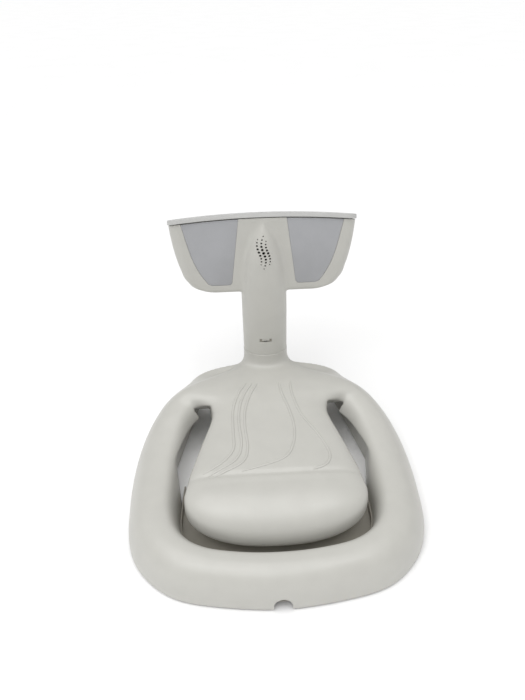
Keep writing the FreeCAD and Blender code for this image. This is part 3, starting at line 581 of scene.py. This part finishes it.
# %% Panel outline and pockets
PANEL = [(48, 498), (68.5, 345), (73, 340.5), (111, 340.5), (119, 344), (136, 372), (151, 412),
         (169, 494)]
PANEL_T = 2.0


def panel_outline(side, grow=0.0):
    curve = smooth_path(PANEL[4:], 8)
    points = np.vstack([PANEL[:4], curve])
    centre = np.array((108.0, 420.0))
    away = points - centre
    points = points + away / np.linalg.norm(away, axis=1)[:, None] * grow
    return [(side * x, z) for x, z in points]


for side in (-1, 1):
    boolean(shell, prism("pocket", panel_outline(side, 0.5), FACE_Y - 6, FACE_Y + PANEL_T + 0.1))

# %% Grille holes
GRILLE_Z = 420.0
holes = []
for column, count, pitch, drift in ((-1, 9, 6.5, 1.4), (0, 11, 6.8, 0.0), (1, 9, 6.2, -0.7)):
    for n in range(count):
        share = 2.0 * n / (count - 1) - 1
        z = (n - (count - 1) / 2) * pitch + drift
        x = 9.0 * column - 4.4 * sin(pi * z / 34.0)
        radius = 1.25 + (1.9 if column == 0 else 1.5) * (1 - abs(share)) ** 0.9
        holes.append((x, GRILLE_Z + z, radius))
drill = None
for x, z, radius in holes:
    bit = rod("drill", radius, (x, 190, z), (x, 218, z), sides=24)
    if drill is None:
        drill = bit
    else:
        merge(drill, bit)
boolean(shell, drill)
print("grille holes:", len(holes))

# %% Port, button and parting
PORT_Z, BUTTON_Z = 210.0, 262.0
boolean(shell, block("slot", -13.3, 13.3, 190, 216, PORT_Z - 4.2, PORT_Z + 4.2))
boolean(shell, rod("button hole", 9.4, (0, 262, BUTTON_Z), (0, 290, BUTTON_Z)))
PARTING_Y = 246.0
front = shell
rear = front.copy()
rear.data = front.data.copy()
rear.name = "column_rear"
front.name = "column_front"
scene.collection.objects.link(rear)
boolean(front, block("keep front", -300, 300, 100, PARTING_Y - 0.15, 0, 600), "INTERSECT")
boolean(rear, block("keep rear", -300, 300, PARTING_Y + 0.15, 500, 0, 600), "INTERSECT")
for piece, node in ((front, "column_front_shell"), (rear, "column_rear_shell")):
    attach(piece, "stand")
    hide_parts(node)
    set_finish(piece, "moulded_white")
    print(piece.name, len(piece.data.polygons))

# %% [markdown]
# ## Panels
# Each inlay is a thin moulded plate with a softly rounded edge. It follows the rim of the head, so it
# is trimmed by the same dome.

# %% Inlay panels
for side, name in ((-1, "left_panel"), (1, "right_panel")):
    plate = prism(name + "_inlay", panel_outline(side), FACE_Y + 0.3, FACE_Y + PANEL_T)
    boolean(plate, dome("dome", CARRIER_T + CARRIER_GAP + 0.6))
    round_edges(plate, 0.5)
    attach(plate, "stand")
    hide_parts(name)
    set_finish(plate, "inlay_grey")

# %% [markdown]
# ## The swaying cap
# The cap is a shallow dome with a generous rounded edge. It is cut from the rim's outline by two
# spheres, and then its edges are bevelled. Below it hangs the hub that the shaft is bolted to.

# %% Seat carrier
def rounded_plan(w, d, front, rear, steps=10):
    """Outline in X and Y with small front and large rear corners."""
    points = []
    for cx, cy, r, start in ((w - front, -d + front, front, -90), (w - rear, d - rear, rear, 0),
                             (-w + rear, d - rear, rear, 90), (-w + front, -d + front, front, 180)):
        for s in range(steps + 1):
            a = radians(start + 90 * s / steps)
            points.append((cx + r * cos(a), cy + r * sin(a)))
    return points


def slab(name, outline, z0, z1):
    bm = bmesh.new()
    low = [bm.verts.new(Vector((x, y, z0)) * MM) for x, y in outline]
    top = [bm.verts.new(Vector((x, y, z1)) * MM) for x, y in outline]
    bm.faces.new(low[::-1])
    bm.faces.new(top)
    for i in range(len(outline)):
        j = (i + 1) % len(outline)
        bm.faces.new((low[i], low[j], top[j], top[i]))
    bmesh.ops.recalc_face_normals(bm, faces=bm.faces)
    return leaning(new_piece(name, bm))


SEAT_PCD, FLANGE_PCD = 64.0, 38.0
cap = slab("seat_carrier_cap", rounded_plan(194.5, 51.5, 22, 38), -60, 30)
boolean(cap, dome("dome shell", 0.0, below=CARRIER_T), "INTERSECT")
round_edges(cap, 3.0, angle=50, segments=4)
hub = leaning(rod("hub", 40, (0, 0, -16), (0, 0, -5), sides=96))
boolean(cap, hub, "UNION")
bits = []
for pcd, count, phase, radius in ((SEAT_PCD, 4, 45, 4.2), (FLANGE_PCD, 4, 0, 2.7)):
    for n in range(count):
        a = radians(phase + 90 * n)
        x, y = pcd / 2 * cos(a), pcd / 2 * sin(a)
        bits.append(leaning(rod("bit", radius, (x, y, -20), (x, y, 6), sides=32)))
        if pcd == FLANGE_PCD:
            bits.append(leaning(rod("bit", 5.0, (x, y, -6), (x, y, 6), sides=32)))
for bit in bits:
    boolean(cap, bit)
cap.data.shade_smooth()
cap.data.set_sharp_from_angle(angle=radians(40))
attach(cap, "carrier")
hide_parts("seat_carrier")
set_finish(cap, "carrier_grey")
print("cap faces:", len(cap.data.polygons))

# %% [markdown]
# ## Materials
# One function adds a node with its settings and links. Each finish is a Principled shader whose
# colour, roughness and fine bump come from noise, at the size that the real surface has: the grain of
# a spark-eroded mould is about half a millimetre, and shading differs a little over centimetres.

# %% Colour and node helpers
def linear(code, alpha=1.0):
    """sRGB hex colour as linear values."""
    values = [int(code[i:i + 2], 16) / 255 for i in (1, 3, 5)]
    return [v / 12.92 if v <= 0.04045 else ((v + 0.055) / 1.055) ** 2.4 for v in values] + [alpha]


def add(tree, kind, links=(), **settings):
    """Adds a node; settings are its properties or sockets, links pairs of (socket, source)."""
    node = tree.nodes.new(kind)
    for key, value in settings.items():
        name = key.replace("_", " ")
        if name in node.inputs:
            node.inputs[name].default_value = value
        else:
            setattr(node, key, value)
    for socket, source in links:
        tree.links.new(source, node.inputs[socket])
    return node


def finish(name, colour, roughness, metallic=0.0, ior=1.5, grain=0.5, bump=0.03, vary=0.04,
           coat=0.0, patch=35.0):
    """A material with grain and patches whose sizes are in millimetres."""
    m = bpy.data.materials.new(name)
    m.use_nodes = True
    tree = m.node_tree
    tree.nodes.clear()
    place = add(tree, "ShaderNodeTexCoord").outputs["Object"]
    broad = add(tree, "ShaderNodeTexNoise", [("Vector", place)], Scale=1000 / patch, Detail=3.0)
    fine = add(tree, "ShaderNodeTexNoise", [("Vector", place)], Scale=1000 / grain, Detail=2.0)
    base = linear(colour)
    light = [min(1, v * (1 + vary)) for v in base[:3]] + [1]
    dark = [v * (1 - vary) for v in base[:3]] + [1]
    ramp = add(tree, "ShaderNodeValToRGB", [("Fac", broad.outputs["Fac"])])
    ramp.color_ramp.elements[0].position, ramp.color_ramp.elements[0].color = 0.35, dark
    ramp.color_ramp.elements[1].position, ramp.color_ramp.elements[1].color = 0.65, light
    rough = add(tree, "ShaderNodeMapRange", [("Value", fine.outputs["Fac"])])
    rough.inputs["To Min"].default_value = max(0.02, roughness - 0.05)
    rough.inputs["To Max"].default_value = min(1.0, roughness + 0.05)
    relief = add(tree, "ShaderNodeBump", [("Height", fine.outputs["Fac"])], Strength=0.35,
                 Distance=bump * MM)
    shader = add(tree, "ShaderNodeBsdfPrincipled",
                 [("Base Color", ramp.outputs["Color"]), ("Roughness", rough.outputs["Result"]),
                  ("Normal", relief.outputs["Normal"])], Metallic=metallic, IOR=ior)
    shader.inputs["Coat Weight"].default_value = coat
    add(tree, "ShaderNodeOutputMaterial", [("Surface", shader.outputs["BSDF"])])
    return m


# %% The finishes
FINISHES = {
    "moulded_white": finish("white_ABS_spark_eroded_mould", "#c0bfb9", 0.36, ior=1.53, bump=0.05,
                            vary=0.015),
    # moulded_dark: a real moulding under the bulb, but its darker grey-brown tone is partly painted
    # shade, standing in for the shadow under the bulb's overhang.
    "moulded_dark": finish("dark_ABS_spark_eroded_mould", "#98948a", 0.5, ior=1.53, bump=0.05),
    "inlay_grey": finish("blue_grey_ABS_satin_mould", "#a7a8ab", 0.38, ior=1.53, bump=0.03, vary=0.02),
    "carrier_grey": finish("grey_ABS_satin_mould", "#bdbdbb", 0.4, ior=1.53, bump=0.03, vary=0.02),
    "circuit_board": finish("glass_epoxy_green_mask", "#1f5c38", 0.35, ior=1.55, grain=0.8, vary=0.12),
    "plated_steel": finish("steel_nickel_plated", "#c9c8c4", 0.25, metallic=1.0, vary=0.05),
    "dark_steel": finish("steel_black_powder_coat", "#2b2b2d", 0.55, bump=0.08, vary=0.08),
    "paper_cone": finish("pressed_black_paper", "#1c1b1b", 0.85, grain=1.2, bump=0.15, vary=0.15),
    "foam_black": finish("closed_cell_foam", "#161616", 0.95, grain=0.9, bump=0.2, vary=0.2),
    "zinc_steel": finish("steel_zinc_plated", "#b9bcbd", 0.33, metallic=1.0, patch=12, vary=0.1),
    "cast_metal": finish("aluminium_sand_cast", "#84858a", 0.6, metallic=1.0, grain=1.0, bump=0.2,
                         vary=0.1),
    "bearing_steel": finish("bearing_steel_ground", "#c4c5c8", 0.18, metallic=1.0, grain=0.2,
                            vary=0.03),
    "nylon": finish("natural_nylon_moulded", "#dedbcf", 0.45, ior=1.53, vary=0.04),
    "brass": finish("brass_turned", "#c9a75c", 0.28, metallic=1.0, grain=0.3, vary=0.05),
    "rubber": finish("moulded_rubber", "#252525", 0.8, grain=0.7, bump=0.1, vary=0.12),
    "fastener_steel": finish("steel_zinc_passivated", "#b0b1b2", 0.35, metallic=1.0, patch=6, vary=0.1),
}
slots = {row["node"]: row["material_slot"] for row in frame["record"]["subparts"]}
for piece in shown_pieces():
    wanted = piece.get("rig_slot") or slots.get(piece.name)
    piece.data.materials.clear()
    piece.data.materials.append(FINISHES[wanted])

# %% [markdown]
# ## Floor, light and camera
# A pale floor and one broad overhead light, as in a product studio, let the flowing shell show its
# form by slow changes of shade, and two small lamps give the bulb its soft highlights. The camera
# stands in front, above the head, and looks down.

# %% Stage
def panel_light(name, place, aim, width, power):
    light = bpy.data.lights.new(name, "AREA")
    light.shape, light.size, light.energy = "DISK", width, power
    lamp = bpy.data.objects.new(name, light)
    lamp.location = place
    lamp.rotation_mode = "QUATERNION"
    lamp.rotation_quaternion = (Vector(aim) - Vector(place)).to_track_quat("-Z", "Y")
    scene.collection.objects.link(lamp)


FLOOR_RADIUS = 400.0  # metres, far past the horizon of the view
bm = bmesh.new()
bmesh.ops.create_circle(bm, cap_ends=True, segments=64, radius=FLOOR_RADIUS)
floor = new_piece("floor", bm)
floor.location.z = -0.0005
floor.data.materials.append(finish("pale_floor", "#fdfdfd", 0.85, patch=400, vary=0.01, bump=0.01))

world = scene.world or bpy.data.worlds.new("studio")
scene.world = world
world.use_nodes = True
world.node_tree.nodes.clear()
sky = add(world.node_tree, "ShaderNodeBackground", Color=linear("#ffffff"), Strength=0.40)
add(world.node_tree, "ShaderNodeOutputWorld", [("Surface", sky.outputs["Background"])])
sun = bpy.data.lights.new("overhead", "SUN")
sun.energy, sun.angle = 2.15, radians(70)
lamp = bpy.data.objects.new("overhead", sun)
lamp.rotation_euler = (radians(14), radians(-10), 0)
scene.collection.objects.link(lamp)
for name, x in (("key", -0.7), ("fill", 0.8)):
    panel_light(name, (x, -0.9, 1.9), aim=(0, -0.1, 0.1), width=0.4, power=2.0)

# %% Camera
PITCH, ROLL, YAW = radians(33.0), radians(1.325), radians(2.194)
CAMERA_PLACE = Vector((-42.0, -927.7, 916.9))
ahead = Vector((sin(YAW) * cos(PITCH), cos(YAW) * cos(PITCH), -sin(PITCH)))
right = Vector((cos(YAW), -sin(YAW), 0))
up = right.cross(ahead)
turned_right = cos(ROLL) * right - sin(ROLL) * up
turned_up = sin(ROLL) * right + cos(ROLL) * up
camera_data = bpy.data.cameras.new("camera")
camera_data.sensor_fit, camera_data.sensor_width, camera_data.sensor_height = "AUTO", 36.0, 36.0
camera_data.lens = 30.51
camera_data.shift_x = -4.0 / 700
camera = bpy.data.objects.new("camera", camera_data)
rows = Matrix((turned_right, turned_up, -ahead)).transposed().to_4x4()
camera.matrix_world = Matrix.Translation(CAMERA_PLACE * MM) @ rows
scene.collection.objects.link(camera)
scene.camera = camera
scene.view_settings.view_transform = "Standard"

# %% [markdown]
# ## Last step
# The visual model has to fill the same box as the engineering model; here the view layer is brought up
# to date.

# %% Update the scene
bpy.context.view_layer.update()
